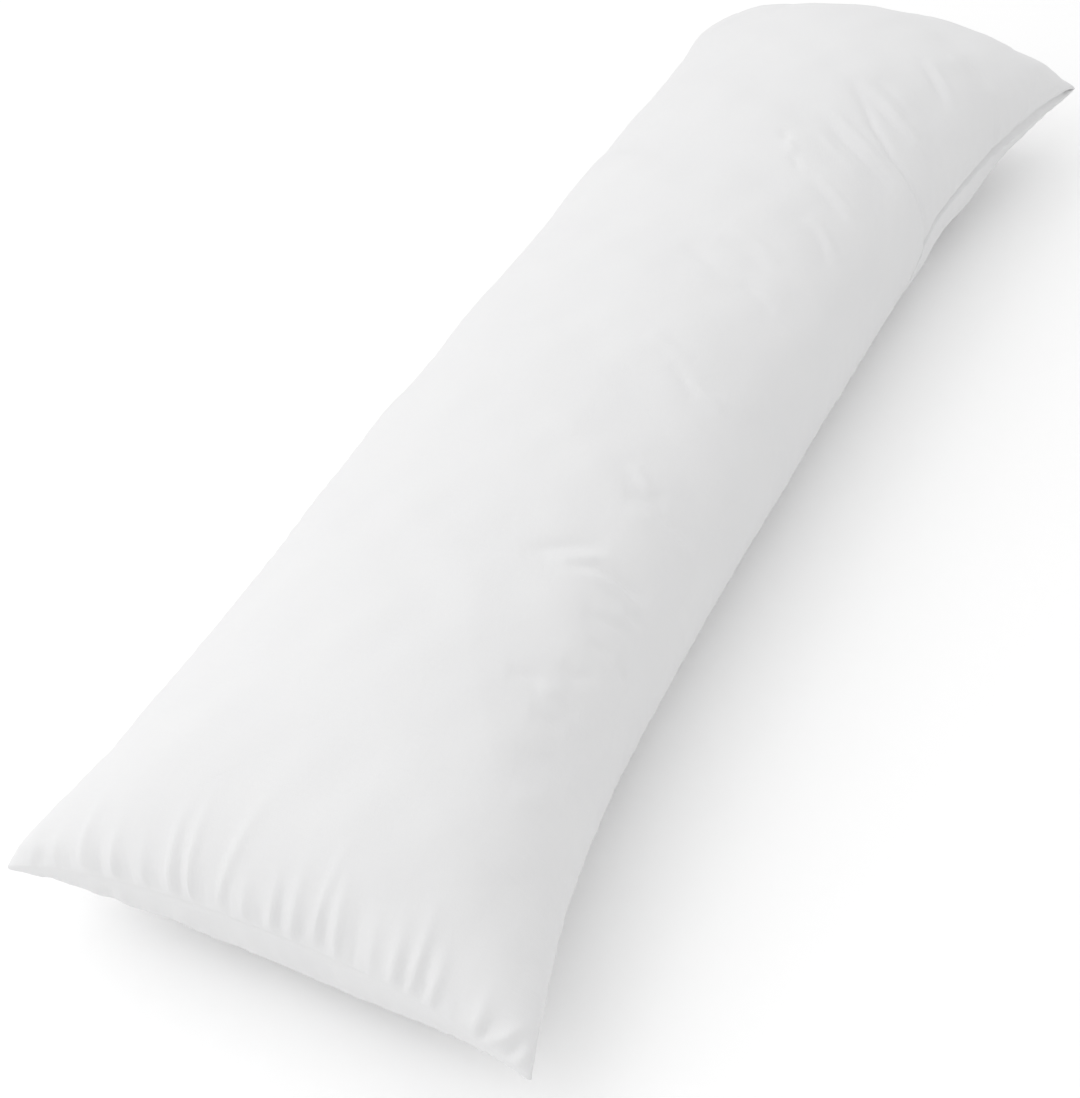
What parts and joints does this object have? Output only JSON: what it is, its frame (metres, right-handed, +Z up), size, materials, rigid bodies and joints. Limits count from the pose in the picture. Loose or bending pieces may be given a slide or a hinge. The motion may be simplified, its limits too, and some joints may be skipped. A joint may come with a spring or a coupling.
{
  "type": "body pillow",
  "caption": "Long filled body pillow of plain white cotton with drawn-in sides, pointed corners and gathered end seams.",
  "frame": {"origin": "centre of the flat underside, on the surface the pillow lies on, under the middle of its bounding box", "axes": "+X along the pillow from the near end to the far end, +Z up through the crown, +Y across to the left side"},
  "size_m": [1.468, 0.484, 0.232],
  "materials": {
    "white_cotton": "matte plain-woven white cotton with a faint sheen"
  },
  "bodies": {
    "root": {"pillow": "white_cotton"}
  },
  "joints": []
}
